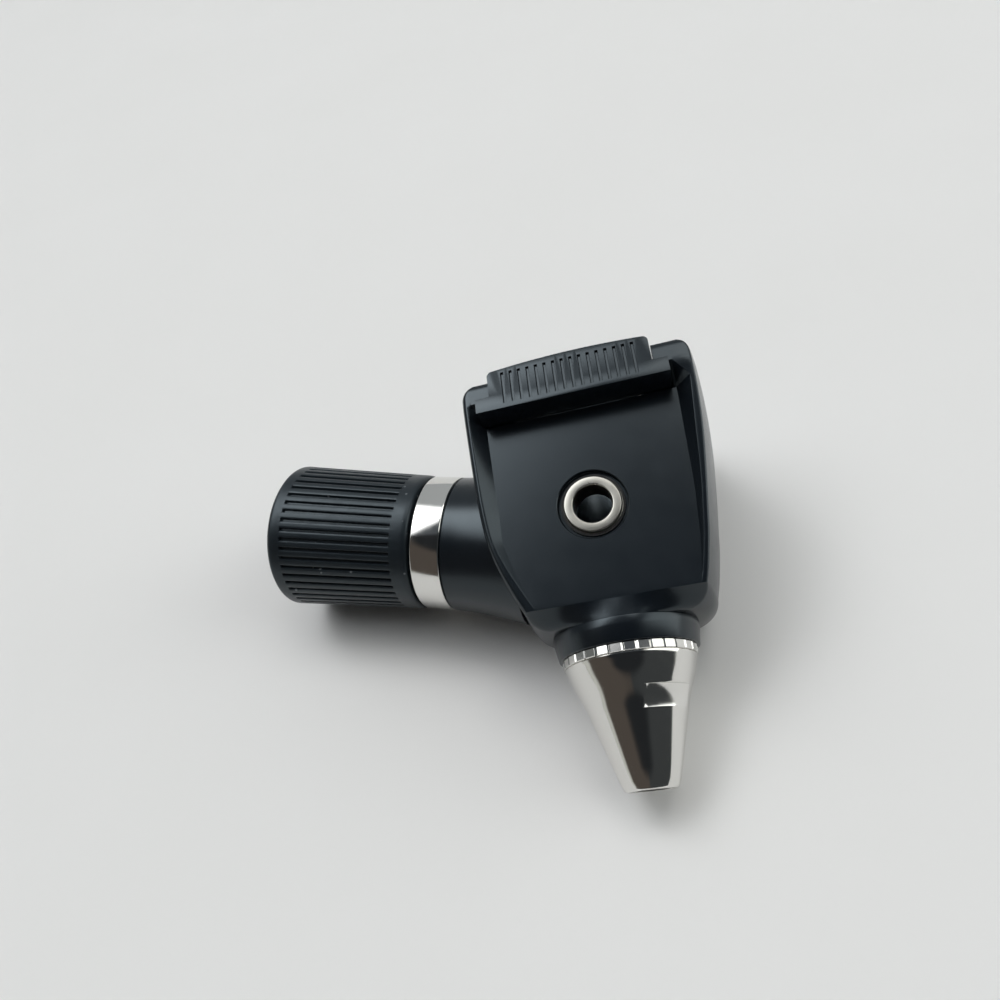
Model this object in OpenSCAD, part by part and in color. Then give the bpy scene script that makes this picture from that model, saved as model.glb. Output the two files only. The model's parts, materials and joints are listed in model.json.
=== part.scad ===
// Otoscope head for a bayonet battery handle, lying on its side. Millimetres.
// The neck runs along +X from the mouth of the handle socket, which is the origin.
// The sight axis crosses the neck's axis at head_x and is turned by head_tilt, so the
// tip points towards -Y and the magnifier towards +Y. The air port looks up along +Z.

/* [Neck] */
// Outer radius of the grip collar at its mouth
collar_mouth_r = 11.1; // [10.9:0.05:11.4]
// Outer radius of the grip collar beside the band
collar_band_r = 10.25; // [10.15:0.05:10.5]
// Length of the grip collar
collar_len = 22.4; // [21.8:0.1:22.6]
// Number of grooves round the grip collar
groove_count = 48; // [36:1:54]
// Outer radius of the polished band
band_r = 10.1; // [9.8:0.05:10.3]
// Length of the polished band
band_len = 4.4; // [3.8:0.1:4.6]
// Radius of the handle socket's bore
socket_r = 8; // [7.6:0.05:8.2]
// Depth of the handle socket
socket_depth = 12; // [11:0.1:12]

/* [Head] */
// Distance from the socket's mouth to the sight axis
head_x = 50.1; // [49.6:0.1:51]
// Angle that the head is turned by on its neck
head_tilt = 14.4; // [13:0.1:16]
// Half of the width between the outer sides of the two rails
rail_half = 14.4; // [14.2:0.1:14.8]
// Half of the distance between the two flat panels, at the air port
panel_half = 10.5; // [10.4:0.05:10.8]
// Angle that each flat panel leans in towards the tip
panel_lean = 3.3; // [3:0.1:3.6]

/* [Lens frame] */
// Length of the lens frame along its slide
frame_len = 31.5; // [30.5:0.1:32.5]
// Width of the lens frame's flange, inside the rails
flange_w = 26.8; // [26.4:0.1:27]
// Width of the raised part of the lens frame, between the rails
raised_w = 22.7; // [22.4:0.1:22.9]
// Number of grip grooves on each end of the lens frame
frame_grooves = 16; // [13:1:19]
// Clearance between the lens frame and its rails
slide_gap = 0.2; // [0.15:0.01:0.25]

/* [Tip] */
// Distance from the neck's axis to the end of the tip
tip_end = 32.1; // [31.5:0.1:33]
// Outer radius of the tip's end
tip_end_r = 3.45; // [3.4:0.01:3.6]
// Radius of the faceted ring at the root of the tip
ring_r = 9.1; // [9:0.05:9.3]
// Number of flats round the ring
ring_flats = 32; // [24:1:40]

/* [Air port] */
// Radius of the air port's bore
port_r = 2.65; // [2.5:0.01:2.75]
// Radius of the air port's flange
port_flange_r = 4.35; // [4.2:0.01:4.5]

/* [Hidden] */
$fn = 96;

// A cutter reaches this far past the face that it cuts
over = 1;
// Thickness of the flat slices that a hull joins
skin = 0.01;

// Neck, by distance along X
band_x = collar_len + 0.5;
neck_x = band_x + band_len;
neck_root_x = 40;
neck_root_r = 11.3;
tube_r = 8.2;
tube_bore_r = 6.2;
tube_end_x = 37;
socket_ring_r = 9.4;
groove_deep = 0.45;
groove_w = 0.5;
groove_from = 2.2;
groove_to = collar_len - 2.6;
bayonet_w = 2.4;
screw_x = 31;
screw_r = 1.2;
screw_turns = [-30, 30];
neck_step = 0.05;

// Head, by distance behind the neck's axis (towards the lens) and in front of it
// (towards the tip)
lens_across = -0.7;
bay_back = 17.75;
flange_back = bay_back + slide_gap;
flange_thick = 2.2;
raised_back = 24.6;
raised_bow_r = 120;
rail_lip = flange_back + flange_thick + slide_gap;
side_taper = 9;
panel_front = 9.4;
panel_front_half = 9.75;
nose_front = 11.8;
nose_r = 9.9;
port_back = 3.55;
cavity_front = 8.5;
cavity_back_r = 9.2;
cavity_front_r = 8;
spigot_r = 6.4;
tip_nut_from = 6.7;
seal_inner_r = 9.5;
seal_outer_r = 10.6;
seal_deep = 0.5;
seal_proud = 0.1;

// Air port, measured from the flat panel along its own axis
port_recess_r = 5;
port_sunk = 0.8;
port_stem_r = 3.3;
port_seal_thick = 0.3;
port_proud = 0.15;
port_deep = 4;
port_hole_deep = 6;

// Lens and its window in the frame
window_w = 18.4;
window_len = 22;
lens_w = 20;
lens_len = 24.6;
lens_seat = 19.4;
lens_rim = 1.2;

// Outline of the housing in slices: distance behind the neck's axis, left side,
// and the right side's crown. Each slice's depth follows the side taper.
housing_slices = [[23.8, -14, 14.9], [23.2, -15.4, 16.2], [21.8, -16.3, 16.9],
                  [17, -16.4, 17.1], [11, -16.3, 16.7], [4, -16.1, 15.8],
                  [0, -15.5, 15.1], [-4, -14.3, 14.4], [-9.4, -11.9, 13.1],
                  [-10.6, -11, 12.1]];
crown_rise = 1.9;
crown_r = 5;
edge_r = 1.5;

// Flat panel, from the air port's centre
panel_outline = [[-14.3, 14.4], [-13.6, 1], [-12, -5.5], [-9.6, -13],
                 [12.1, -13], [13.6, 3], [13.9, 14.4]];
panel_wall_left = 1.2;
panel_wall_right = 3.4;
panel_wall_high = 5;

// Tip, by distance in front of the neck's axis
ring_front = 14.95;
ring_thick = 1.15;
cone_root = ring_front + ring_thick;
hub_r = 7.6;
cone_root_r = 8.85;
shoulder = cone_root + 1.75;
shoulder_r = 8.4;
flare_end = 20;
flare_end_r = 7.3;
tip_bore_r = 5.6;
tip_bore_end_r = 2.95;
bore_taper_from = 14;
fibre_thick = 0.5;
fibre_fit = 0.1;
sight_wall = 0.3;
sight_tube_r = tip_bore_r - fibre_thick - fibre_fit;
sight_tube_end_r = tip_bore_end_r - fibre_thick;

// Notch across the tip's flank: the distance of its flat floor from the sight axis at
// each end, and the way it faces, counted from straight across towards the air port
notch_from = 20.1;
notch_to = 22.8;
notch_floor_r = 6.8;
notch_floor_end_r = 5.75;
notch_turn = 47;

// Lamp, by distance along X
lamp_x = 13.2;
lamp_r = 2.7;
lamp_fit = 0.05;
lamp_flange_r = 3.6;
lamp_flange_thick = 1.2;
lamp_seat_x = lamp_x + lamp_flange_thick + lamp_fit;
lamp_shell_end = 22.5;
lamp_end = 25;
lamp_bore_r = 2.3;
contact_r = 1;
contact_proud = 0.4;
insulator_end = lamp_x + 2.8;
sleeve_end = 28;
ferrule_end = 32;

// Fibre bundle: straight from the ferrule to an elbow, then straight to the manifold
bundle_r = 1.25;
elbow_x = 36;
elbow_turn = 34;
elbow_run = 9.4;
manifold_from = 4.4;

function slice_half(back) =
    min(rail_half, panel_front_half + (back + panel_front) * tan(side_taper));

// Places its children in the head: X across, Y towards the lens, Z sideways
module in_head() {
    translate([head_x, 0, 0]) rotate([0, 0, head_tilt]) children();
}

// Turns a profile of [radius, distance in front of the neck's axis] about the sight axis
module turn_on_sight(points) {
    in_head() rotate([90, 0, 0]) rotate_extrude() polygon(points);
}

// Turns a profile of [radius, distance from the socket's mouth] about the neck's axis
module turn_on_neck(points) {
    rotate([0, 90, 0]) rotate_extrude() polygon(points);
}

module neck_ring(from, to, outer_r, inner_r) {
    turn_on_neck([[inner_r, from], [outer_r, from], [outer_r, to], [inner_r, to]]);
}

// Part of a ring round the neck's axis, from one angle through another
module neck_sector(from, to, outer_r, inner_r, start, turn) {
    rotate([0, 90, 0]) rotate([0, 0, start]) rotate_extrude(angle = turn)
        translate([inner_r, from]) square([outer_r - inner_r, to - from]);
}

module neck_rod(from, to, r) {
    translate([from, 0, 0]) rotate([0, 90, 0]) cylinder(h = to - from, r = r);
}

// Places its children on a flat panel: the air port's centre is the origin and Z
// points straight out of the panel
module on_panel() {
    in_head() translate([lens_across, port_back, panel_half]) rotate([panel_lean, 0, 0])
        children();
}

module housing_slice(slice) {
    half = slice_half(slice[0]);
    right = slice[2];
    corner = half - edge_r;
    translate([0, slice[0], 0]) rotate([90, 0, 0]) linear_extrude(skin) {
        for (side = [-corner, corner]) {
            translate([slice[1] + edge_r, side]) circle(edge_r, $fn = 32);
            translate([right - crown_rise - edge_r, side]) circle(edge_r, $fn = 32);
        }
        translate([right - crown_r, 0]) circle(crown_r, $fn = 32);
    }
}

module housing_block() {
    in_head() hull() {
        for (slice = housing_slices) housing_slice(slice);
        translate([0, skin - nose_front, 0]) rotate([90, 0, 0])
            cylinder(h = skin, r = nose_r, $fn = 64);
    }
}

module panel_cutter() {
    wide = [for (p = panel_outline)
        [p[0] + (p[0] < 0 ? -panel_wall_left : panel_wall_right), p[1]]];
    on_panel() hull() {
        linear_extrude(skin) polygon(panel_outline);
        translate([0, 0, panel_wall_high]) linear_extrude(skin) polygon(wide);
    }
}

module lens_bay_cutter() {
    flange_cut = flange_w + 2 * slide_gap;
    raised_cut = raised_w + 2 * slide_gap;
    deep = 2 * rail_half + 2 * over;
    in_head() translate([lens_across, 0, -deep / 2]) {
        translate([-flange_cut / 2, bay_back, 0])
            cube([flange_cut, rail_lip - bay_back, deep]);
        translate([-raised_cut / 2, bay_back, 0])
            cube([raised_cut, raised_back - bay_back + over, deep]);
    }
}

module screw_rods(r, from_r, to_r) {
    for (turn = screw_turns)
        translate([screw_x, 0, 0]) rotate([180 + turn, 0, 0])
            translate([0, 0, from_r]) cylinder(h = to_r - from_r, r = r);
}

// The fibre bundle's run from its elbow, through the housing's wall, to the manifold
module bundle_run(r) {
    translate([elbow_x, 0, 0]) rotate([0, 0, -elbow_turn]) neck_rod(0, elbow_run, r);
}

// Ring of the window seal in the lens bay's floor, standing up by this much
module window_seal_ring(proud) {
    turn_on_sight([[seal_inner_r, -bay_back - proud], [seal_outer_r, -bay_back - proud],
                   [seal_outer_r, seal_deep - bay_back], [seal_inner_r, seal_deep - bay_back]]);
}

module housing() {
    color("#1b1e22") difference() {
        union() {
            housing_block();
            turn_on_neck([[0, neck_x], [band_r - neck_step, neck_x],
                          [neck_root_r, neck_root_x - 2], [neck_root_r, neck_root_x],
                          [0, neck_root_x]]);
        }
        panel_cutter();
        mirror([0, 0, 1]) panel_cutter();
        lens_bay_cutter();
        turn_on_sight([[0, -bay_back - over], [cavity_back_r, -bay_back - over],
                       [cavity_back_r, -bay_back], [cavity_front_r, cavity_front],
                       [0, cavity_front]]);
        turn_on_sight([[0, cavity_front - over], [spigot_r, cavity_front - over],
                       [spigot_r, nose_front + over], [0, nose_front + over]]);
        window_seal_ring(over);
        neck_rod(neck_x - over, tube_end_x, tube_r);
        bundle_run(bundle_r);
        screw_rods(screw_r, tube_r - over, neck_root_r + over);
        on_panel() {
            translate([0, 0, -port_sunk]) cylinder(h = port_sunk + over, r = port_recess_r);
            translate([0, 0, -port_hole_deep])
                cylinder(h = port_hole_deep, r = port_stem_r);
        }
    }
}

module nose_collar() {
    lip_r = nose_r + 0.1;
    lip_front = nose_front + 1;
    front_r = 9.5;
    color("#202327") turn_on_sight([[spigot_r, nose_front], [lip_r, nose_front],
        [nose_r, lip_front], [front_r, ring_front], [spigot_r, ring_front]]);
}

module tip_ring() {
    valley_deep = 0.12;
    valley_half = 0.12;
    flat = 360 / ring_flats;
    flats = [for (i = [0 : ring_flats - 1], at = [valley_half, 1 - valley_half, 1])
        (at < 1 ? ring_r : ring_r - valley_deep) * [cos((i + at) * flat), sin((i + at) * flat)]];
    color("#d9d8d2") in_head() translate([0, -ring_front, 0]) rotate([90, 0, 0])
        difference() {
            linear_extrude(ring_thick) polygon(flats);
            translate([0, 0, -over]) cylinder(h = ring_thick + 2 * over, r = hub_r);
        }
}

module notch_cutter() {
    reach = 12;
    in_head() rotate([90, 0, 0]) rotate([0, 0, notch_turn - 90]) rotate([90, 0, 90])
        linear_extrude(2 * reach, center = true)
            polygon([[notch_floor_r, notch_from], [reach, notch_from],
                     [reach, notch_to], [notch_floor_end_r, notch_to]]);
}

module tip_cone() {
    color("#cfcdc7") difference() {
        turn_on_sight([[tip_bore_r, tip_nut_from], [spigot_r, tip_nut_from],
            [spigot_r, ring_front], [hub_r, ring_front], [hub_r, cone_root],
            [cone_root_r, cone_root], [shoulder_r, shoulder], [flare_end_r, flare_end],
            [tip_end_r, tip_end], [tip_bore_end_r, tip_end], [tip_bore_r, bore_taper_from]]);
        notch_cutter();
    }
}

module tip_nut() {
    nut_r = 7.7;
    slot_w = 1.2;
    slot_deep = 1.4;
    color("#b5a163") difference() {
        turn_on_sight([[spigot_r, tip_nut_from], [nut_r, tip_nut_from],
                       [nut_r, cavity_front], [spigot_r, cavity_front]]);
        for (turn = [0, 90])
            in_head() translate([0, -tip_nut_from, 0]) rotate([0, turn, 0])
                cube([4 * spigot_r, slot_deep, slot_w], center = true);
    }
}

module sight_tube() {
    from = 4;
    color("#c9c6be") turn_on_sight([[sight_tube_r - sight_wall, from], [sight_tube_r, from],
        [sight_tube_r, bore_taper_from], [sight_tube_end_r, tip_end],
        [sight_tube_end_r - sight_wall, tip_end],
        [sight_tube_r - sight_wall, bore_taper_from]]);
}

// Fibres between the tip's bore and the sight tube, ending just inside the tip's end
module fibre_ring() {
    inset = 0.1;
    end = tip_end - inset;
    widening = inset * (tip_bore_r - tip_bore_end_r) / (tip_end - bore_taper_from);
    color("#f1ead8") turn_on_sight([[sight_tube_r, tip_nut_from], [tip_bore_r, tip_nut_from],
        [tip_bore_r, bore_taper_from], [tip_bore_end_r + widening, end],
        [sight_tube_end_r + widening, end], [sight_tube_r, bore_taper_from]]);
}

module fibre_manifold() {
    color("#3a3427") turn_on_sight([[sight_tube_r, manifold_from], [hub_r, manifold_from],
                                    [hub_r, tip_nut_from], [sight_tube_r, tip_nut_from]]);
}

module fibre_bundle() {
    end_gap = 0.2;
    elbow_swell = 0.05;
    color("#e9dfc6") {
        neck_rod(sleeve_end + end_gap, elbow_x, bundle_r);
        translate([elbow_x, 0, 0]) sphere(bundle_r + elbow_swell);
        bundle_run(bundle_r);
    }
}

module fibre_ferrule() {
    color("#b5a163") neck_ring(sleeve_end, ferrule_end, tube_bore_r, bundle_r);
}

module neck_tube() {
    color("#b9b6ad") neck_ring(socket_depth, tube_end_x, tube_r, tube_bore_r);
}

module neck_band() {
    rim = 0.15;
    color("#dcdbd6") turn_on_neck([[tube_r, band_x], [band_r - rim, band_x],
        [band_r, band_x + rim], [band_r, neck_x - rim], [band_r - rim, neck_x],
        [tube_r, neck_x]]);
}

module neck_screws() {
    socket = 0.65;
    socket_deep = 1;
    color("#8c8f93") difference() {
        screw_rods(screw_r, tube_r, band_r);
        for (turn = screw_turns)
            translate([screw_x, 0, 0]) rotate([180 + turn, 0, 0])
                translate([0, 0, band_r - socket_deep])
                    cylinder(h = socket_deep + over, r = socket, $fn = 6);
    }
}

module grip_collar() {
    lean = atan((collar_mouth_r - collar_band_r) / collar_len);
    mouth_bevel = 0.8;
    mouth_bevel_len = 0.7;
    band_bevel = 0.4;
    color("#191c20") difference() {
        turn_on_neck([[socket_ring_r, 0], [collar_mouth_r - mouth_bevel, 0],
            [collar_mouth_r, mouth_bevel_len], [collar_band_r, collar_len - band_bevel],
            [collar_band_r - band_bevel, collar_len], [tube_r, collar_len],
            [tube_r, socket_depth], [socket_ring_r, socket_depth]]);
        for (i = [0 : groove_count - 1])
            rotate([i * 360 / groove_count, 0, 0])
                translate([0, 0, collar_mouth_r]) rotate([0, lean, 0])
                    translate([groove_from, -groove_w / 2, -groove_deep])
                        cube([groove_to - groove_from, groove_w, groove_deep + over]);
    }
}

// Metal bayonet ring: two L-shaped slots in its bore take the handle's lugs
module socket_ring() {
    slot_deep = 0.9;
    slot_r = socket_r + slot_deep;
    slot_turn = 18;
    run_x = 6;
    run_turn = 40;
    color("#bdbab1") difference() {
        neck_ring(0, socket_depth, socket_ring_r, socket_r);
        for (side = [0, 180]) {
            neck_sector(-over, run_x + bayonet_w, slot_r, socket_r - over, side, slot_turn);
            neck_sector(run_x, run_x + bayonet_w, slot_r, socket_r - over, side, run_turn);
        }
    }
}

module lamp_sleeve() {
    bore_r = lamp_r + lamp_fit;
    seat_gap = 0.6;
    seat_r = lamp_flange_r + seat_gap;
    color("#a9a69d") turn_on_neck([[seat_r, socket_depth], [tube_bore_r, socket_depth],
        [tube_bore_r, sleeve_end], [bore_r, sleeve_end], [bore_r, lamp_seat_x],
        [seat_r, lamp_seat_x]]);
}

module lamp_base() {
    flange_end = lamp_x + lamp_flange_thick;
    color("#c7a24b") turn_on_neck([[lamp_bore_r, lamp_x], [lamp_flange_r, lamp_x],
        [lamp_flange_r, flange_end], [lamp_r, flange_end], [lamp_r, lamp_shell_end],
        [lamp_bore_r, lamp_shell_end]]);
}

module lamp_insulator() {
    color("#4a3b30") neck_ring(lamp_x, insulator_end, lamp_bore_r, contact_r);
}

module lamp_contact() {
    front = lamp_x - contact_proud;
    tail = 0.2;
    dome = 0.4;
    color("#b9b9b9") {
        neck_rod(front, insulator_end + tail, contact_r);
        intersection() {
            translate([front, 0, 0]) sphere(contact_r);
            neck_rod(front - dome, front, contact_r);
        }
    }
}

module lamp_glass() {
    from = 17;
    wall = 0.35;
    color("#dfe8ee", 0.5) rotate([0, 90, 0]) rotate_extrude() difference() {
        intersection() {
            union() {
                translate([0, from]) square([lamp_bore_r, lamp_end - lamp_bore_r - from]);
                translate([0, lamp_end - lamp_bore_r]) circle(lamp_bore_r);
            }
            translate([0, from]) square([lamp_bore_r, lamp_end - from]);
        }
        translate([0, from - over])
            square([lamp_bore_r - wall, lamp_end - lamp_bore_r - from + over]);
        translate([0, lamp_end - lamp_bore_r]) circle(lamp_bore_r - wall);
    }
}

module lamp_filament() {
    wire_r = 0.12;
    coil_r = 0.3;
    post = 1.1;
    top_x = 22.6;
    color("#6f6f72") {
        for (side = [-post, post])
            translate([0, side, 0]) neck_rod(insulator_end, top_x, wire_r);
        translate([top_x, -post, 0]) rotate([-90, 0, 0]) cylinder(h = 2 * post, r = coil_r);
    }
}

module air_port() {
    seat = -port_sunk + port_seal_thick;
    flange_thick = 0.2;
    face_r = 3.9;
    color("#d6d4cd") on_panel() rotate_extrude() polygon([[port_r, -port_deep],
        [port_stem_r, -port_deep], [port_stem_r, seat], [port_flange_r, seat],
        [port_flange_r, seat + flange_thick], [face_r, seat + flange_thick],
        [face_r, port_proud], [port_r, port_proud]]);
}

module air_port_seal() {
    color("#26282b") on_panel() translate([0, 0, -port_sunk]) difference() {
        cylinder(h = port_seal_thick, r = port_flange_r);
        translate([0, 0, -over]) cylinder(h = port_seal_thick + 2 * over, r = port_stem_r);
    }
}

module window_seal() {
    color("#3b3d40") window_seal_ring(seal_proud);
}

// Lens frame's own axes: X across its middle, Y towards the eye, Z along its slide
module in_frame() {
    in_head() translate([lens_across, 0, 0]) children();
}

module frame_box(w, from, to, length) {
    translate([-w / 2, from, -length / 2]) cube([w, to - from, length]);
}

module frame_grip_grooves() {
    land = 2.2;
    groove = 0.6;
    deep = 0.35;
    foot = 0.7;
    top_land = 0.9;
    step = (raised_w - 2 * land) / (frame_grooves - 1);
    for (end = [0, 1]) mirror([0, 0, end])
        for (i = [0 : frame_grooves - 1])
            translate([-raised_w / 2 + land + i * step - groove / 2,
                       flange_back + foot, frame_len / 2 - deep])
                cube([groove, raised_back - flange_back - foot - top_land, deep + over]);
}

module lens_frame() {
    color("#1d2024") in_frame() difference() {
        union() {
            frame_box(flange_w, flange_back, flange_back + flange_thick, frame_len);
            intersection() {
                frame_box(raised_w, flange_back, raised_back + over, frame_len);
                translate([0, raised_back - raised_bow_r, -frame_len / 2])
                    cylinder(h = frame_len, r = raised_bow_r, $fn = 256);
            }
        }
        frame_box(window_w, flange_back - over, raised_back + over, window_len);
        frame_box(lens_w, lens_seat, raised_back + over, lens_len);
        frame_grip_grooves();
    }
}

// Plano-convex magnifier with a flat rim, which the bezel holds down
module lens() {
    dome_r = 38;
    dome_high = 4;
    dome_gap = 0.8;
    dome_w = window_w - dome_gap;
    dome_len = window_len - dome_gap;
    color("#cfe0ea", 0.4) in_frame() {
        frame_box(lens_w, lens_seat, lens_seat + lens_rim, lens_len);
        intersection() {
            frame_box(dome_w, lens_seat, lens_seat + dome_high, dome_len);
            translate([0, lens_seat + dome_high - dome_r, 0]) sphere(dome_r, $fn = 200);
        }
    }
}

module lens_bezel() {
    sunk = 0.5;
    bezel_back = raised_back - sunk;
    color("#14161a") in_frame() difference() {
        frame_box(lens_w, lens_seat + lens_rim, bezel_back, lens_len);
        frame_box(window_w, lens_seat, raised_back, window_len);
    }
}

housing();
nose_collar();
tip_cone();
tip_ring();
tip_nut();
sight_tube();
fibre_ring();
fibre_manifold();
fibre_bundle();
fibre_ferrule();
neck_tube();
neck_band();
neck_screws();
grip_collar();
socket_ring();
lamp_sleeve();
lamp_base();
lamp_insulator();
lamp_contact();
lamp_glass();
lamp_filament();
air_port();
air_port_seal();
window_seal();
lens_frame();
lens();
lens_bezel();
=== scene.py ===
import json
import math

import bmesh
import bpy
from mathutils import Matrix, Vector


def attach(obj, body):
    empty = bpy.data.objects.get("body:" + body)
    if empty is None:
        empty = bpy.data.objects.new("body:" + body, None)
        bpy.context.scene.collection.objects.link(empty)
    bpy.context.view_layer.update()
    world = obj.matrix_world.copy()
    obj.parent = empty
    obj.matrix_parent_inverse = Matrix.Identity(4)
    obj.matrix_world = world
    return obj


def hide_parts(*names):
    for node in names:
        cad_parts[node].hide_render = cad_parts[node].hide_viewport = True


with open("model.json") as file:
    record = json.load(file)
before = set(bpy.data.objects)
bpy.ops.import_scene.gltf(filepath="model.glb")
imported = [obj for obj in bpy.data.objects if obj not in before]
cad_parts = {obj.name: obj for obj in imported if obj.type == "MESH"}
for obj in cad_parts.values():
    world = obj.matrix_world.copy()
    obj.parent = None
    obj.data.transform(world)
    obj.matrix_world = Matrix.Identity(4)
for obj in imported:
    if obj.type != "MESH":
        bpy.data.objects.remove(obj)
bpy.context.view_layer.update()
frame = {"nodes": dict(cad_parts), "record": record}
record = frame["record"]
nodes = frame["nodes"]
mounts = {mount["name"]: mount for mount in record["mounts"]}


# ---------------------------------------------------------------- camera and table
# The head is looked at from close above, a little from the tip's side, with a wide
# lens. It lies on a pale matt table, touching it with the lens frame's far end, the
# collar and the nose, under a broad soft light from beyond the magnifier.
scene = bpy.context.scene
scene.view_settings.view_transform = "Standard"

camera = bpy.data.objects.new("camera", bpy.data.cameras.new("camera"))
scene.collection.objects.link(camera)
camera.rotation_mode = "ZYX"
camera.location = (0.06605, -0.03303, 0.10283)
camera.rotation_euler = (0.3744, 0.2974, 0.0394)
camera.data.lens = 27
camera.data.clip_start = 0.005
scene.camera = camera


def tree_of(material):
    material.use_nodes = True
    return material.node_tree, material.node_tree.nodes["Principled BSDF"]


def add(tree, kind, links=None, **values):
    """A new shader node; values set its properties and links feed its sockets."""
    made = tree.nodes.new(kind)
    for name, value in values.items():
        setattr(made, name, value)
    for socket, value in (links or {}).items():
        if isinstance(value, bpy.types.NodeSocket):
            tree.links.new(value, made.inputs[socket])
        else:
            made.inputs[socket].default_value = value
    return made


def speckle(tree, scale, detail=3.0, stretch=None):
    """Noise on the piece's own coordinates, in features per metre."""
    place = add(tree, "ShaderNodeTexCoord").outputs["Object"]
    if stretch:
        place = add(tree, "ShaderNodeMapping", {"Vector": place, "Scale": stretch}).outputs["Vector"]
    noise = add(tree, "ShaderNodeTexNoise", {"Vector": place, "Scale": scale, "Detail": detail})
    return noise.outputs["Fac"]


def between(tree, factor, low, high):
    """factor, from 0 to 1, stretched to run from low to high."""
    return add(tree, "ShaderNodeMapRange",
               {"Value": factor, "From Min": 0.2, "From Max": 0.8,
                "To Min": low, "To Max": high}).outputs["Result"]


def tint(tree, factor, dark, light):
    return add(tree, "ShaderNodeMix", {"Factor": factor, "A": (*dark, 1), "B": (*light, 1)},
               data_type="RGBA").outputs["Result"]


floor_mat = bpy.data.materials.new("matt_table")
tree, surface = tree_of(floor_mat)
tree.links.new(tint(tree, speckle(tree, 25), (0.82, 0.815, 0.80), (0.845, 0.84, 0.83)),
               surface.inputs["Base Color"])
surface.inputs["Roughness"].default_value = 0.8

REST_UP = Vector((0.0298, 0.2358, 0.9713))
REST_DEPTH = 0.01107
TABLE_SIZE = 4.0

bm = bmesh.new()
bmesh.ops.create_grid(bm, x_segments=1, y_segments=1, size=TABLE_SIZE)
lie = REST_UP.to_track_quat("Z", "Y").to_matrix().to_4x4()
bmesh.ops.transform(bm, verts=bm.verts, matrix=Matrix.Translation(-REST_UP * REST_DEPTH) @ lie)
table_mesh = bpy.data.meshes.new("table")
bm.to_mesh(table_mesh)
table_mesh.materials.append(floor_mat)
table = bpy.data.objects.new("table", table_mesh)
scene.collection.objects.link(table)

# The room: a bright patch high up beyond the magnifier, a bright right side, pale near
# walls, and dim above them, brown to the left, slate to the right and black overhead
room = bpy.data.worlds.new("room")
scene.world = room
room.use_nodes = True
tree = room.node_tree
way = add(tree, "ShaderNodeTexCoord").outputs["Generated"]
part = add(tree, "ShaderNodeSeparateXYZ", {"Vector": way}).outputs


def ramp(tree, value, low, high):
    """0 where the value is under low, 1 over high."""
    return add(tree, "ShaderNodeMapRange", {"Value": value, "From Min": low, "From Max": high},
               interpolation_type="SMOOTHSTEP").outputs["Result"]


def blended(tree, factor, first, second):
    made = add(tree, "ShaderNodeMix", {"Factor": factor}, data_type="RGBA")
    for socket, colour in ((made.inputs["A"], first), (made.inputs["B"], second)):
        if isinstance(colour, bpy.types.NodeSocket):
            tree.links.new(colour, socket)
        else:
            socket.default_value = (*colour, 1)
    return made.outputs["Result"]


def leaning(tree, value, other, share):
    """value with a share of other added."""
    return add(tree, "ShaderNodeMath", {0: other, 1: share, 2: value},
               operation="MULTIPLY_ADD").outputs["Value"]


BROWN, SLATE, BLACK = (0.082, 0.070, 0.061), (0.046, 0.050, 0.052), (0.018, 0.020, 0.022)
PALE_WALL = (0.56, 0.57, 0.54)
GREY, BRIGHT = (0.08, 0.09, 0.10), (5.4, 5.5, 5.6)
LEFT_SIDE, RIGHT_SIDE, FAR_WALL = (0.16, 0.17, 0.17), (2.2, 2.25, 2.2), (0.40, 0.42, 0.43)
dim = blended(tree, ramp(tree, part["X"], 0.10, 0.20), BROWN, SLATE)
dim = blended(tree, ramp(tree, part["Z"], 0.76, 0.86), dim, BLACK)
near_side = blended(tree, ramp(tree, leaning(tree, part["Z"], part["X"], 0.17), 0.12, 0.22),
                    PALE_WALL, dim)
overhead = blended(tree, ramp(tree, leaning(tree, part["Y"], part["X"], -1.4), 0.52, 0.92),
                   GREY, BRIGHT)
overhead = blended(tree, ramp(tree, part["X"], -0.8, -0.5), LEFT_SIDE, overhead)
overhead = blended(tree, ramp(tree, part["X"], 0.42, 0.66), overhead, RIGHT_SIDE)
far_side = blended(tree, ramp(tree, part["Y"], 0.50, 0.70), overhead, FAR_WALL)
sky = blended(tree, ramp(tree, leaning(tree, part["Y"], part["X"], -0.15), -0.10, 0.0),
              near_side, far_side)
tree.links.new(sky, tree.nodes["Background"].inputs["Color"])
tree.nodes["Background"].inputs["Strength"].default_value = 1.0

softbox = bpy.data.lights.new("softbox", "AREA")
softbox.size = 0.5
softbox.energy = 2.2
softbox.color = (1, 0.985, 0.96)
lamp_stand = bpy.data.objects.new("softbox", softbox)
scene.collection.objects.link(lamp_stand)
lamp_stand.location = (0.22, 0.66, 0.95)
lamp_stand.rotation_euler = (-lamp_stand.location).to_track_quat("-Z", "Y").to_euler()


# ---------------------------------------------------------------- housing
# Moulded black plastic head: two flat sunk panels, a domed crown, two hooked rails
# for the lens frame and a short flared neck, all in one moulding, with the sight
# cavity, the neck's bore and the air port's seat cut into it.
MM = 0.001
seat = mounts["speculum_seat"]
sight = Vector(seat["axis"])
across = Vector((-sight.y, sight.x, 0))
head_at = Vector(seat["pos_m"]) - sight * (seat["pos_m"][1] / sight.y)
HEAD = Matrix((
    (across.x, -sight.x, 0, head_at.x),
    (across.y, -sight.y, 0, head_at.y),
    (0, 0, 1, 0),
    (0, 0, 0, 1))) @ Matrix.Scale(MM, 4)
NECK = Matrix.Scale(MM, 4)


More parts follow.
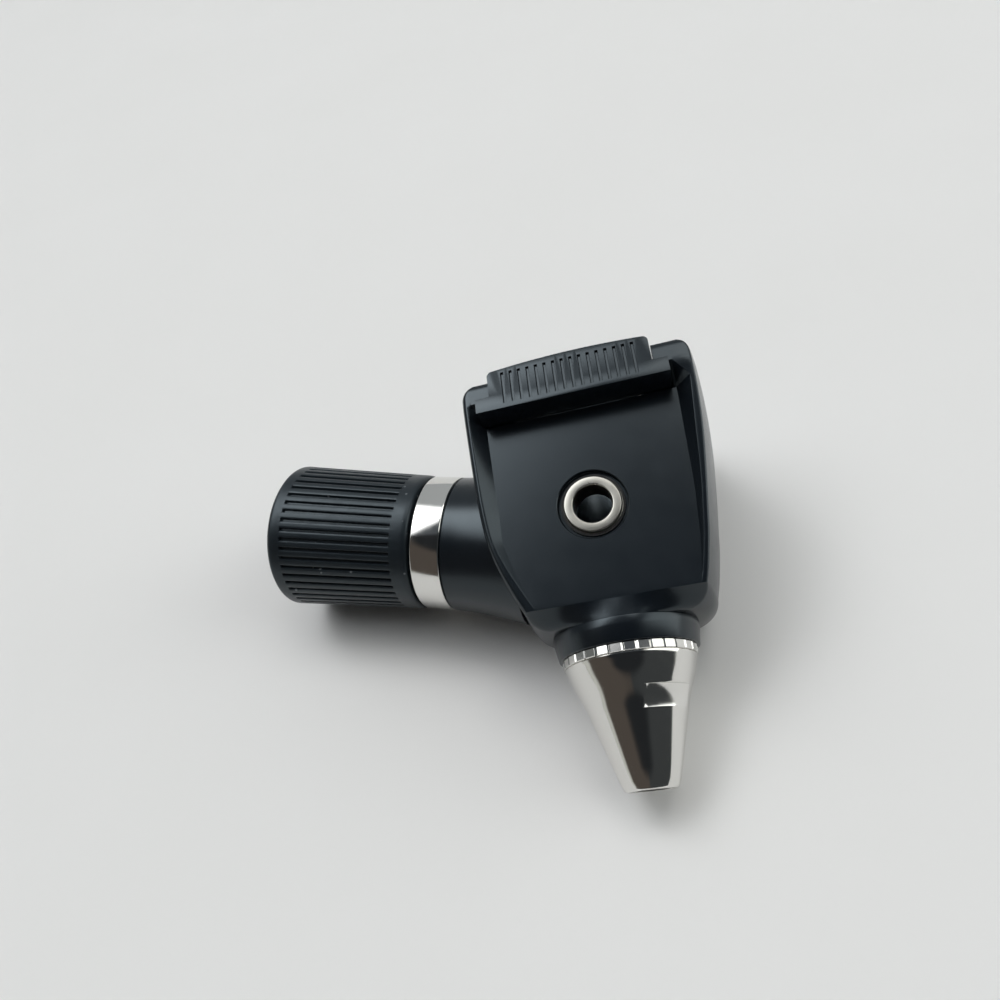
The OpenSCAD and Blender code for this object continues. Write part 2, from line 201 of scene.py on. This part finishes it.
def finish(bm, name, body, material, replaced=(), place=HEAD, sharp=35, merge=0.0005):
    """Makes a piece from a mesh in millimetres: merges it, points it outwards, smooths it
    up to the sharp angle, puts it in its place and lets it ride on its body."""
    if merge:
        bmesh.ops.remove_doubles(bm, verts=bm.verts, dist=merge)
    bmesh.ops.recalc_face_normals(bm, faces=bm.faces)
    bmesh.ops.transform(bm, verts=bm.verts, matrix=place)
    mesh = bpy.data.meshes.new(name)
    bm.to_mesh(mesh)
    bm.free()
    mesh.shade_smooth()
    mesh.set_sharp_from_angle(angle=math.radians(sharp))
    mesh.materials.append(material)
    piece = bpy.data.objects.new(name, mesh)
    scene.collection.objects.link(piece)
    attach(piece, body)
    if replaced:
        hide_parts(*replaced)
    return piece


def spun(bm, outline, steps=128):
    """Turns an outline of (radius, height), closed on itself, about the Z axis."""
    verts = [bm.verts.new((r, 0, h)) for r, h in outline]
    edges = [bm.edges.new((verts[i - 1], verts[i])) for i in range(len(verts))]
    bmesh.ops.spin(bm, geom=verts + edges, cent=(0, 0, 0), axis=(0, 0, 1), angle=math.tau,
                   steps=steps, use_merge=True)


def rounded(outline, radius, steps=3):
    """The outline with each corner cut to an arc of that radius, or less where it is tight."""
    made = []
    for i, corner in enumerate(outline):
        here = Vector(corner)
        back = Vector(outline[i - 1]) - here
        on = Vector(outline[(i + 1) % len(outline)]) - here
        cut = min(radius, back.length * 0.45, on.length * 0.45)
        first = here + back.normalized() * cut
        last = here + on.normalized() * cut
        for k in range(steps + 1):
            t = k / steps
            made.append(tuple((1 - t) ** 2 * first + 2 * t * (1 - t) * here + t * t * last))
    return made


ALONG_SIGHT = Matrix.Rotation(math.pi / 2, 4, "X")
ALONG_NECK = Matrix.Rotation(math.pi / 2, 4, "Y")


def turned(outline, along, steps=128):
    """A bmesh turned about the sight axis or the neck's axis."""
    bm = bmesh.new()
    spun(bm, outline, steps)
    bmesh.ops.transform(bm, verts=bm.verts, matrix=along)
    return bm


def tool(bm, place=Matrix.Identity(4)):
    """An object that cuts or adds to a blank, kept only until it is used."""
    bmesh.ops.remove_doubles(bm, verts=bm.verts, dist=0.0005)
    bmesh.ops.recalc_face_normals(bm, faces=bm.faces)
    bmesh.ops.transform(bm, verts=bm.verts, matrix=place)
    mesh = bpy.data.meshes.new("tool")
    bm.to_mesh(mesh)
    bm.free()
    made = bpy.data.objects.new("tool", mesh)
    scene.collection.objects.link(made)
    return made


def block(size, centre):
    bm = bmesh.new()
    bmesh.ops.create_cube(bm, size=1)
    bmesh.ops.scale(bm, verts=bm.verts, vec=size)
    bmesh.ops.translate(bm, verts=bm.verts, vec=centre)
    return bm


def rod(radius, low, high):
    bm = bmesh.new()
    bmesh.ops.create_cone(bm, cap_ends=True, segments=32, radius1=radius, radius2=radius,
                          depth=high - low)
    bmesh.ops.translate(bm, verts=bm.verts, vec=(0, 0, (high + low) / 2))
    return bm


def carved(blank, cutters, join=()):
    """A bmesh of the blank with the joined tools added and the cutters taken away."""
    for other, how in [(t, "UNION") for t in join] + [(t, "DIFFERENCE") for t in cutters]:
        cut = blank.modifiers.new("cut", "BOOLEAN")
        cut.operation = how
        cut.solver = "EXACT"
        cut.object = other
    made = blank.evaluated_get(bpy.context.evaluated_depsgraph_get())
    bm = bmesh.new()
    bm.from_mesh(made.to_mesh())
    for used in (blank, *join, *cutters):
        bpy.data.objects.remove(used)
    return bm


def soften(bm, offset, angle=40, segments=2):
    """Bevels every edge that turns by more than the angle."""
    edges = [e for e in bm.edges if len(e.link_faces) == 2
             and e.calc_face_angle(0) > math.radians(angle)]
    bmesh.ops.bevel(bm, geom=edges, offset=offset, offset_type="OFFSET", segments=segments,
                    profile=0.5, affect="EDGES", clamp_overlap=True, material=-1)
    return bm


LENS_ACROSS = -0.7
RAIL_TOP = 23.85
RAIL_HALF = 14.4
RAIL_LIP = 20.35
BAY = 17.75
SLOT_ACROSS = 27.2
RAIL_GAP = 23.1
SIDE_HALF = 9.75
TAPER = math.tan(math.radians(9))
PANEL_FRONT = -9.4
PANEL_HALF = 10.5
PANEL_LEAN = math.radians(3.3)
PORT_BACK = 3.55
NOSE = -11.8
NOSE_R = 9.9
END_R = 2.5
END_SIDE_R = 1.2
CROWN_RISE = 1.35
CREST_R = 0.35
CREST_LAND = 0.7
LEFT_EDGE_R = 0.8
LEFT_BULGE = 0.5
FOOT_R = 0.15
RIGHT_WALL_LEAN = 0.68
LEFT_WALL_LEAN = 1.2
LEFT_WALL_MOST = 1.7
# Distance back from the neck's axis, left side, right side, panel's left and right edge
OUTLINE = [(-10.6, -11.0, 12.1, -10.1, 11.3), (-9.4, -11.9, 13.0, -10.3, 11.4),
           (-4, -14.3, 14.4, -12.3, 12.1), (0, -15.5, 15.1, -13.4, 12.5),
           (5, -16.1, 15.9, -14.3, 12.8), (11, -16.3, 16.7, -14.7, 13.0),
           (17, -16.4, 17.1, -15.0, 13.2), (24, -16.4, 17.1, -15.0, 13.2)]


def through(table, at, column):
    """A smooth curve through one column of the table."""
    rows = [table[0]] + table + [table[-1]]
    i = next((k for k in range(1, len(table)) if at <= table[k][0]), len(table) - 1)
    before, low, high, after = (rows[k] for k in range(i - 1, i + 3))
    t = min(max((at - low[0]) / (high[0] - low[0]), 0), 1)
    rise = high[0] - low[0]
    slope_low = (high[column] - before[column]) / max(high[0] - before[0], 1e-6) * rise
    slope_high = (after[column] - low[column]) / max(after[0] - low[0], 1e-6) * rise
    return ((2 * t ** 3 - 3 * t ** 2 + 1) * low[column] + (t ** 3 - 2 * t ** 2 + t) * slope_low
            + (3 * t ** 2 - 2 * t ** 3) * high[column] + (t ** 3 - t ** 2) * slope_high)


def rounding(past, radius):
    """How far an end rounded to that radius has come in, this far past its start."""
    return radius - math.sqrt(max(radius ** 2 - max(past, 0) ** 2, 0))


def bend(corner, before, after, radius, steps=4):
    """The points of an arc that rounds the corner between two neighbours."""
    return [p for i, p in enumerate(rounded([before, corner, after], radius, steps))
            if steps < i <= 2 * steps + 1]


def housing_section(back):
    """Half of the housing's outline at this distance back, from the crown's middle over the
    panel to the left side's middle, as (across, side)."""
    end = rounding(back - (RAIL_TOP - END_R), END_R)
    left = through(OUTLINE, back, 1) + end
    right = through(OUTLINE, back, 2) - end
    half = min(RAIL_HALF, SIDE_HALF + (back - PANEL_FRONT) * TAPER)
    half -= rounding(back - (RAIL_TOP - END_SIDE_R), END_SIDE_R)
    panel = min(PANEL_HALF + (back - PORT_BACK) * math.tan(PANEL_LEAN), half)
    lift = min(max((back - BAY) / (RAIL_LIP - BAY), 0), 1)
    floor = panel + (half - panel) * lift
    crest = (right - CROWN_RISE, half)
    wide_r = RIGHT_WALL_LEAN * (half - floor)
    wide_l = min(LEFT_WALL_LEAN * (half - floor), LEFT_WALL_MOST)
    foot_r = (min(through(OUTLINE, back, 4), crest[0] - CREST_LAND - wide_r), floor)
    foot_l = (max(through(OUTLINE, back, 3), left + LEFT_EDGE_R + 0.1 + wide_l), floor)
    top_r = (foot_r[0] + wide_r + 0.02, half)
    top_l = (foot_l[0] - wide_l - 0.02, half)
    points = []
    for k in range(9):
        side = (half - CREST_R) * math.sin(math.radians(90) * k / 9)
        points.append((right - CROWN_RISE * (side / half) ** 2, side))
    points += bend(crest, points[-1], top_r, CREST_R)
    points += bend(top_r, crest, foot_r, FOOT_R, 2)
    for k in range(13):
        points.append((foot_r[0] + (foot_l[0] - foot_r[0]) * k / 12, floor))
    points += bend(top_l, foot_l, (left, half), FOOT_R, 2)
    for k in range(9):
        turn = math.radians(90) * k / 8
        points.append((left + LEFT_EDGE_R * (1 - math.sin(turn)),
                       half - LEFT_EDGE_R * (1 - math.cos(turn))))
    straight = half - LEFT_EDGE_R
    for k in range(1, 9):
        side = straight * math.cos(math.radians(90) * k / 9)
        points.append((left - LEFT_BULGE * (1 - (side / straight) ** 2), side))
    return points


def housing_ring(back):
    """The whole ring at this distance back; below the panel it draws in to the round nose."""
    at = max(back, PANEL_FRONT)
    half_ring = housing_section(at)
    blend = min(max((PANEL_FRONT - back) / (PANEL_FRONT - NOSE), 0), 1)
    ring = []
    for u, z in half_ring + [(u, -z) for u, z in reversed(half_ring[1:])]:
        length = math.hypot(u, z)
        round_u, round_z = u / length * NOSE_R, z / length * NOSE_R
        late = 1 - math.sqrt(max(1 - blend ** 2, 0)) if length > NOSE_R else blend
        soon = 1 - (1 - blend) ** 1.5
        ring.append((u + (round_u - u) * late, back, z + (round_z - z) * soon))
    return ring


# Close rings hold the panel's front edge, the slot's lip and the rounded back
stations = [NOSE + 0.24 * k for k in range(10)] + [PANEL_FRONT + 0.05 * k for k in (-1, 0, 1)]
stations += [PANEL_FRONT + 0.8 * k for k in range(1, 34)]
stations = [s for s in stations if s < BAY - 0.3] + [BAY]
stations += [BAY + 0.7 * k for k in range(1, 4)] + [RAIL_LIP + 0.02, RAIL_LIP + 0.6]
stations += [RAIL_TOP - END_R * math.cos(math.radians(90) * k / 10) for k in range(11)]

bm = bmesh.new()
loops = []
for back in stations:
    ring = [bm.verts.new(point) for point in housing_ring(back)]
    loops.append([bm.edges.new((ring[i - 1], ring[i])) for i in range(len(ring))])
for low, high in zip(loops, loops[1:]):
    bmesh.ops.bridge_loops(bm, edges=low + high)
bmesh.ops.holes_fill(bm, edges=loops[0] + loops[-1], sides=0)
blank = tool(bm)

# The flared neck is joined on, cut back to the housing's left side
NECK_FROM, NECK_TO, NECK_R, NECK_FLARE = 27.3, 39, 10.05, 1.35
neck_in_head = HEAD.inverted() @ NECK
neck_profile = [(0, NECK_FROM), (NECK_R - 0.3, NECK_FROM), (NECK_R, NECK_FROM + 0.3)]
neck_profile += [(NECK_R + NECK_FLARE * (k / 8) ** 1.6, 27.6 + 11.4 * k / 8) for k in range(1, 9)]
neck_profile += [(0, NECK_TO)]
neck = tool(turned(neck_profile, ALONG_NECK), neck_in_head)
hollow = bmesh.new()
side_line = [(through(OUTLINE, back, 3) - 0.35, back) for back in range(-12, 18, 3)]
corners = [hollow.verts.new((u, back, -15)) for u, back in side_line + [(8, 17), (8, -12)]]
bmesh.ops.extrude_face_region(hollow, geom=[hollow.faces.new(corners)])
hollow.verts.ensure_lookup_table()
bmesh.ops.translate(hollow, verts=hollow.verts[len(corners):], vec=(0, 0, 30))
neck = tool(carved(neck, [tool(hollow)]))

# Cut into it: the lens frame's slot and rail gap, the sight cavity, the tip's spigot hole,
# the window seal's groove, the neck tube's bore, the port's seat and two screw holes
PAST_RAILS = 2 * RAIL_HALF + 4
SPIGOT_R = 6.4
SEAL_FROM, SEAL_TO, SEAL_DEEP = 9.5, 10.6, 0.5
TUBE_R = 8.2
PORT_STEM_R = 3.3
SCREW_ALONG, SCREW_R = 31, 1.2
on_panel = Matrix.Translation((LENS_ACROSS, PORT_BACK, PANEL_HALF)) @ Matrix.Rotation(PANEL_LEAN, 4, "X")
cutters = [
    tool(block((SLOT_ACROSS, RAIL_LIP - BAY, PAST_RAILS), (LENS_ACROSS, (RAIL_LIP + BAY) / 2, 0))),
    tool(block((RAIL_GAP, 8, PAST_RAILS), (LENS_ACROSS, BAY + 4, 0))),
    tool(turned([(0, -BAY - 1), (9.2, -BAY - 1), (9.2, -BAY), (8, 8.5), (0, 8.5)], ALONG_SIGHT)),
    tool(turned([(0, 7.5), (SPIGOT_R, 7.5), (SPIGOT_R, 13), (0, 13)], ALONG_SIGHT)),
    tool(turned([(SEAL_FROM, -BAY - 1), (SEAL_TO, -BAY - 1), (SEAL_TO, SEAL_DEEP - BAY),
                 (SEAL_FROM, SEAL_DEEP - BAY)], ALONG_SIGHT)),
    tool(turned([(0, 26), (TUBE_R, 26), (TUBE_R, 37), (0, 37)], ALONG_NECK), neck_in_head),
    tool(turned([(0, -6), (PORT_STEM_R, -6), (PORT_STEM_R, -0.8), (4.7, -0.8), (4.8, -0.7),
                 (4.8, -0.1), (4.95, 0.05), (4.95, 2), (0, 2)], Matrix.Identity(4)), on_panel)]
for turn in (-30, 30):
    spoke = Matrix.Translation((SCREW_ALONG, 0, 0)) @ Matrix.Rotation(math.radians(180 + turn), 4, "X")
    cutters.append(tool(rod(SCREW_R, 7, 12), neck_in_head @ spoke))
bm = carved(blank, cutters, [neck])

black = bpy.data.materials.new("moulded_black")
tree, surface = tree_of(black)
cloud = speckle(tree, 60, 4)
grain = speckle(tree, 5200, 2)
tree.links.new(tint(tree, cloud, (0.0042, 0.0062, 0.0088), (0.0065, 0.009, 0.0125)),
               surface.inputs["Base Color"])
tree.links.new(between(tree, speckle(tree, 420, 5), 0.22, 0.27), surface.inputs["Roughness"])
bump = add(tree, "ShaderNodeBump", {"Height": grain, "Strength": 0.12, "Distance": 0.00004})
tree.links.new(bump.outputs["Normal"], surface.inputs["Normal"])
surface.inputs["Specular Tint"].default_value = (0.80, 0.93, 1.0, 1)
finish(bm, "housing_shell", "head", black, ["housing"], sharp=24)


# ---------------------------------------------------------------- nose collar
# Short black ring pressed over the tip's spigot, between the housing and the metal
# tip. It is turned from the same plastic and carries the housing's round nose on.
RING_FRONT = 14.95
nose_outline = rounded([(SPIGOT_R, -NOSE), (9.95, -NOSE), (9.9, 12.8), (9.5, RING_FRONT),
                        (SPIGOT_R, RING_FRONT)], 0.15)
finish(turned(nose_outline, ALONG_SIGHT, 192), "nose_ring", "head", black,
       ["nose_collar"])


# ---------------------------------------------------------------- metal tip
# Hollow cone of turned brass, nickel plated and polished, that carries the ear
# specula. A notch across one side locks a speculum's lug. A ring of small flats at
# its root is the stop that a speculum is pushed up to.
nickel = bpy.data.materials.new("polished_nickel")
tree, surface = tree_of(nickel)
tree.links.new(tint(tree, speckle(tree, 180, 4), (0.70, 0.69, 0.66), (0.78, 0.77, 0.745)),
               surface.inputs["Base Color"])
surface.inputs["Metallic"].default_value = 1
tree.links.new(between(tree, speckle(tree, 900, 5), 0.06, 0.13), surface.inputs["Roughness"])
bump = add(tree, "ShaderNodeBump", {"Height": speckle(tree, 700, 3), "Strength": 0.05,
                                   "Distance": 0.00005})
tree.links.new(bump.outputs["Normal"], surface.inputs["Normal"])

CONE_ROOT = 16.1
TIP_END = 32.1
HUB_R = 7.6
BORE_R = 5.6
tip_outline = [(BORE_R, 6.7), (SPIGOT_R, 6.7), (SPIGOT_R, RING_FRONT), (HUB_R, RING_FRONT),
               (HUB_R, CONE_ROOT), (8.75, CONE_ROOT), (8.86, CONE_ROOT + 0.12)]
NOTCH = (20.1, 22.8)
CONE_R = 7.3  # at the notch's near side
CONE_SLOPE = 0.3125
SWELL = 0.38
SWELL_FROM, SWELL_LEN = 17.65, 4.3
for k in range(16):
    height = CONE_ROOT + 0.25 + 0.4 * k
    late = min(max((height - SWELL_FROM) / SWELL_LEN, 0), 1)
    swell = SWELL * (1 - late ** 2 * (3 - 2 * late))
    tip_outline.append((CONE_R + CONE_SLOPE * (NOTCH[0] - height) + swell, height))
tip_outline += [(CONE_R - CONE_SLOPE * (height - NOTCH[0]), height)
                for height in (22.9, 23.4, 24, 25, 26.5, 28, 29.5, 31)]
tip_outline += [(3.52, TIP_END - 0.25), (3.45, TIP_END - 0.12), (3.3, TIP_END), (3.05, TIP_END),
                (2.95, TIP_END - 0.1), (BORE_R, 14.0)]
blank = tool(turned(tip_outline, ALONG_SIGHT, 256))
# The notch is cut across the flank; its nearly flat floor runs out at both sides
NOTCH_FLOOR = (6.8, 5.75)
NOTCH_TURN = 47
PAST_TIP = 12
notch = bmesh.new()
slices = []
for k in range(17):
    ring = []
    off = 4.5 * (k - 8)
    turn = math.radians(NOTCH_TURN + off)
    for height, floor in zip(NOTCH, NOTCH_FLOOR):
        corners = [notch.verts.new((r * math.cos(turn), r * math.sin(turn), height))
                   for r in (floor / math.cos(math.radians(0.8 * off)), PAST_TIP)]
        ring += corners if height == NOTCH[0] else reversed(corners)
    slices.append([notch.edges.new((ring[i - 1], ring[i])) for i in range(4)])
for low, high in zip(slices, slices[1:]):
    bmesh.ops.bridge_loops(notch, edges=low + high)
bmesh.ops.holes_fill(notch, edges=slices[0] + slices[-1], sides=0)
bmesh.ops.transform(notch, verts=notch.verts, matrix=ALONG_SIGHT)
bm = carved(blank, [tool(notch)])
soften(bm, 0.05, 50, 2)
finish(bm, "tip_shell", "head", nickel, ["tip_cone"], sharp=30)

# The stop ring: flats with a shallow valley between each two
FLATS = 32
VALLEY_DEEP = 0.12
VALLEY_HALF = 0.12
RING_R = 9.1
bm = bmesh.new()
rings = []
for radius, height in ((RING_R - 0.1, 0), (RING_R, 0.1), (RING_R, 1.05), (RING_R - 0.1, 1.15)):
    ring = []
    for i in range(FLATS):
        for at in (VALLEY_HALF, 1 - VALLEY_HALF, 1):
            turn = math.tau * (i + at) / FLATS
            r = radius - (VALLEY_DEEP if at == 1 else 0)
            ring.append(bm.verts.new((r * math.cos(turn), r * math.sin(turn), RING_FRONT + height)))
    rings.append(ring)
for rim in (rings[-1], rings[0]):
    inward = [HUB_R / math.hypot(v.co.x, v.co.y) for v in rim]
    rings.append([bm.verts.new((v.co.x * k, v.co.y * k, v.co.z)) for v, k in zip(rim, inward)])
loops = [[bm.edges.new((ring[i - 1], ring[i])) for i in range(len(ring))] for ring in rings]
for low, high in zip([loops[-1]] + loops, loops):
    bmesh.ops.bridge_loops(bm, edges=low + high)
bmesh.ops.transform(bm, verts=bm.verts, matrix=ALONG_SIGHT)
soften(bm, 0.03, 7, 1)
finish(bm, "stop_ring", "head", nickel, ["tip_ring"], sharp=2)


# ---------------------------------------------------------------- neck band
# Narrow polished ring that hides the joint between the ribbed collar and the neck,
# with both rims broken.
BAND_FROM, BAND_R = 22.9, 10.1
band_outline = rounded([(TUBE_R, BAND_FROM), (BAND_R, BAND_FROM), (BAND_R, NECK_FROM),
                        (TUBE_R, NECK_FROM)], 0.22, 4)
finish(turned(band_outline, ALONG_NECK, 256), "band", "head", nickel,
       ["neck_band"], place=NECK)


# ---------------------------------------------------------------- grip collar
# Ribbed black collar round the handle socket: a slightly tapered sleeve with narrow
# closed grooves moulded into it, smooth at both ends.
RIBS = 48
STEPS_PER_RIB = 10
COLLAR_LEN = 22.4
COLLAR_R, COLLAR_TAPER = 11.1, 0.04
SOCKET_RING_R, SOCKET_RING_LEN = 9.4, 12
GROOVE_FROM, GROOVE_TO, GROOVE_DEEP, GROOVE_RUNOUT = 2.2, 19.8, 0.45, 0.12
collar_outline = [(SOCKET_RING_R, 0), (10.35, 0), (10.6, 0.06), (10.98, 0.42), (11.06, 0.6),
                  (11.09, 0.85)]
heights = [1.5, GROOVE_FROM, GROOVE_FROM + 0.06, GROOVE_FROM + GROOVE_RUNOUT]
heights += [3 + k for k in range(17)]
heights += [GROOVE_TO - GROOVE_RUNOUT, GROOVE_TO - 0.06, GROOVE_TO, 20.6, 21.4]
collar_outline += [(COLLAR_R - COLLAR_TAPER * h, h) for h in heights]
collar_outline += [(10.2, 21.9), (10.08, 22.2), (9.85, COLLAR_LEN), (TUBE_R, COLLAR_LEN),
                   (TUBE_R, SOCKET_RING_LEN), (SOCKET_RING_R, SOCKET_RING_LEN)]
bm = bmesh.new()
spun(bm, collar_outline, RIBS * STEPS_PER_RIB)
bmesh.ops.remove_doubles(bm, verts=bm.verts, dist=0.0005)
groove_depth = {0: 1.0, 1: 1.0, 9: 1.0, 2: 0.12, 8: 0.12}
for vert in bm.verts:
    radius = math.hypot(vert.co.x, vert.co.y)
    inside = min(vert.co.z - GROOVE_FROM, GROOVE_TO - vert.co.z)
    if radius < 10 or inside < 0:
        continue
    step = round(math.atan2(vert.co.y, vert.co.x) / math.tau * RIBS * STEPS_PER_RIB)
    depth = groove_depth.get(step % STEPS_PER_RIB, 0)
    sink = depth * GROOVE_DEEP * min(1, inside / GROOVE_RUNOUT)
    vert.co.x *= (radius - sink) / radius
    vert.co.y *= (radius - sink) / radius
bmesh.ops.transform(bm, verts=bm.verts, matrix=ALONG_NECK)
collar_black = bpy.data.materials.new("ribbed_black")
tree, surface = tree_of(collar_black)
body_black = tint(tree, speckle(tree, 80, 4), (0.006, 0.009, 0.012), (0.0095, 0.0135, 0.018))
cells = add(tree, "ShaderNodeTexVoronoi", {
    "Vector": add(tree, "ShaderNodeTexCoord").outputs["Object"], "Scale": 620}).outputs
lint = add(tree, "ShaderNodeMath", {0: ramp(tree, cells["Distance"], 0.17, 0.09),
                                   1: ramp(tree, speckle(tree, 210, 2), 0.56, 0.60)},
           operation="MULTIPLY").outputs["Value"]
tree.links.new(blended(tree, lint, body_black, (0.14, 0.15, 0.16)), surface.inputs["Base Color"])
tree.links.new(between(tree, speckle(tree, 700, 5), 0.30, 0.44), surface.inputs["Roughness"])
bump = add(tree, "ShaderNodeBump", {"Height": speckle(tree, 4200, 3), "Strength": 0.15,
                                   "Distance": 0.00005})
tree.links.new(bump.outputs["Normal"], surface.inputs["Normal"])
surface.inputs["Specular Tint"].default_value = (0.80, 0.93, 1.0, 1)
finish(bm, "ribbed_collar", "head", collar_black, ["grip_collar"], place=NECK,
       sharp=50)


# ---------------------------------------------------------------- air port
# Nickel-plated bush pressed into the panel over its seal ring. An air bulb's tube
# pushes into its bore.
satin_nickel = bpy.data.materials.new("satin_nickel")
tree, surface = tree_of(satin_nickel)
tree.links.new(tint(tree, speckle(tree, 300, 4), (0.33, 0.32, 0.285), (0.46, 0.45, 0.41)),
               surface.inputs["Base Color"])
surface.inputs["Metallic"].default_value = 1
tree.links.new(between(tree, speckle(tree, 600, 3), 0.26, 0.34), surface.inputs["Roughness"])
PORT_BORE_R, PORT_DEEP = 2.65, 4
port_outline = rounded([(PORT_STEM_R, -PORT_DEEP), (PORT_STEM_R, -0.78), (4.35, -0.78), (4.35, -0.55),
                        (3.95, -0.5), (3.85, 0.15), (2.78, 0.15), (PORT_BORE_R, 0.02),
                        (PORT_BORE_R, -PORT_DEEP)], 0.12, 3)
bm = bmesh.new()
spun(bm, port_outline)
finish(bm, "port_bush", "head", satin_nickel, ["air_port"],
       place=HEAD @ on_panel)


# ---------------------------------------------------------------- lens frame
# Black moulded frame that slides sideways in the housing's rails. Its flange runs in
# the rails, its raised part carries the magnifier, and both ends are ribbed for a
# fingertip. The back is slightly bowed.
FRAME_LEN = 31.5
FLANGE_ACROSS = 26.8
FLANGE = (17.95, 20.15)
RAISED_ACROSS = 22.7
RAISED_BACK = 24.6
BOW_R = 120
flange = tool(block((FLANGE_ACROSS, FLANGE[1] - FLANGE[0], FRAME_LEN),
                    (LENS_ACROSS, sum(FLANGE) / 2, 0)))
bm = block((RAISED_ACROSS, RAISED_BACK - FLANGE[0], FRAME_LEN - 0.01),
           (LENS_ACROSS, (RAISED_BACK + FLANGE[0]) / 2, 0))
uprights = [e for e in bm.edges if abs(e.verts[0].co.x - e.verts[1].co.x) > 1]
bmesh.ops.subdivide_edges(bm, edges=uprights, cuts=15, use_grid_fill=True)
for vert in bm.verts:
    if vert.co.y > RAISED_BACK - 0.1:
        vert.co.y -= rounding(abs(vert.co.x - LENS_ACROSS), BOW_R)
backs = [e for e in bm.edges if abs(e.verts[0].co.z - e.verts[1].co.z) > 1
         and abs(e.verts[0].co.x - LENS_ACROSS) > RAISED_ACROSS / 2 - 0.05 and e.verts[0].co.y > 24]
bmesh.ops.bevel(bm, geom=backs, offset=0.7, offset_type="OFFSET", segments=6, profile=0.5,
                affect="EDGES", clamp_overlap=True, material=-1)
raised = tool(bm)
opening = tool(block((18.4, 10, 22), (LENS_ACROSS, 22, 0)))
pocket = tool(block((20, 10, 24.6), (LENS_ACROSS, 24.4, 0)))
bm = soften(carved(flange, [opening, pocket], [raised]), 0.25, 40, 3)

# Grip grooves across both ends, narrowing towards their floor
GRIPS = 16
GRIP_LAND = 2.2
GRIP_DEEP = 0.32
grip_step = (RAISED_ACROSS - 2 * GRIP_LAND) / (GRIPS - 1)
grips = bmesh.new()
for end in (-1, 1):
    for i in range(GRIPS):
        at = LENS_ACROSS - RAISED_ACROSS / 2 + GRIP_LAND + i * grip_step
        made = bmesh.ops.create_cube(grips, size=1)["verts"]
        bmesh.ops.scale(grips, verts=made, vec=(0.9, 5.2, 1.0))
        floor_verts = [v for v in made if v.co.z * end < 0]
        bmesh.ops.scale(grips, verts=floor_verts, vec=(0.3, 0.94, 1.0))
        outwards = end * (FRAME_LEN / 2 + 0.5 - GRIP_DEEP)
        bmesh.ops.translate(grips, verts=made, vec=(at, 21.15, outwards))
bm = carved(tool(bm), [tool(grips)])
finish(bm, "sliding_frame", "lens_slider", black, ["lens_frame"], sharp=35)


# ---------------------------------------------------------------- parts kept as designed
# Turned and moulded parts inside the head keep their plain shapes. Each gets the
# finish of what it is made of.
def plain_finish(name, dark, light, roughness, metal=0.0, scale=400, grain=2500):
    material = bpy.data.materials.new(name)
    tree, surface = tree_of(material)
    tree.links.new(tint(tree, speckle(tree, scale, 4), dark, light), surface.inputs["Base Color"])
    tree.links.new(between(tree, speckle(tree, scale * 2.5, 4), roughness * 0.8, roughness * 1.25),
                   surface.inputs["Roughness"])
    surface.inputs["Metallic"].default_value = metal
    bump = add(tree, "ShaderNodeBump", {"Height": speckle(tree, grain, 2), "Strength": 0.1,
                                       "Distance": 0.00004})
    tree.links.new(bump.outputs["Normal"], surface.inputs["Normal"])
    return material


def clear_finish(name, colour, roughness):
    material = bpy.data.materials.new(name)
    tree, surface = tree_of(material)
    surface.inputs["Base Color"].default_value = (*colour, 1)
    surface.inputs["Transmission Weight"].default_value = 1
    surface.inputs["IOR"].default_value = 1.5
    tree.links.new(between(tree, speckle(tree, 300, 3), roughness, roughness + 0.03),
                   surface.inputs["Roughness"])
    return material


dull_nickel = plain_finish("dull_nickel", (0.5, 0.49, 0.46), (0.62, 0.61, 0.58), 0.3, 1.0)
turned_alloy = plain_finish("turned_alloy", (0.55, 0.55, 0.55), (0.66, 0.66, 0.66), 0.35, 1.0)
turned_brass = plain_finish("turned_brass", (0.55, 0.4, 0.17), (0.68, 0.52, 0.25), 0.3, 1.0)
screw_steel = plain_finish("screw_steel", (0.2, 0.2, 0.21), (0.3, 0.3, 0.31), 0.4, 1.0)
fibre_glass = plain_finish("fibre_glass", (0.8, 0.76, 0.62), (0.95, 0.92, 0.82), 0.25,
                           scale=9000, grain=20000)
cast_resin = plain_finish("cast_resin", (0.05, 0.035, 0.02), (0.09, 0.065, 0.04), 0.35)
ceramic = plain_finish("ceramic", (0.16, 0.11, 0.08), (0.22, 0.16, 0.12), 0.5)
soft_rubber = plain_finish("soft_rubber", (0.012, 0.012, 0.013), (0.02, 0.02, 0.021), 0.75)
lamp_clear = clear_finish("lamp_clear", (0.97, 0.98, 1.0), 0.01)
lens_clear = clear_finish("lens_clear", (0.97, 0.99, 0.99), 0.0)
kept = {"tip_nut": turned_brass, "sight_tube": dull_nickel, "fibre_ring": fibre_glass,
        "fibre_manifold": cast_resin, "fibre_bundle": fibre_glass, "fibre_ferrule": turned_brass,
        "neck_tube": turned_alloy, "neck_screws": screw_steel, "socket_ring": dull_nickel,
        "lamp_sleeve": turned_alloy, "lamp_base": turned_brass, "lamp_insulator": ceramic,
        "lamp_contact": screw_steel, "lamp_glass": lamp_clear, "lamp_filament": screw_steel,
        "air_port_seal": soft_rubber, "window_seal": soft_rubber, "lens": lens_clear,
        "lens_bezel": black}
for name, material in kept.items():
    for slot in nodes[name].material_slots:
        slot.material = material
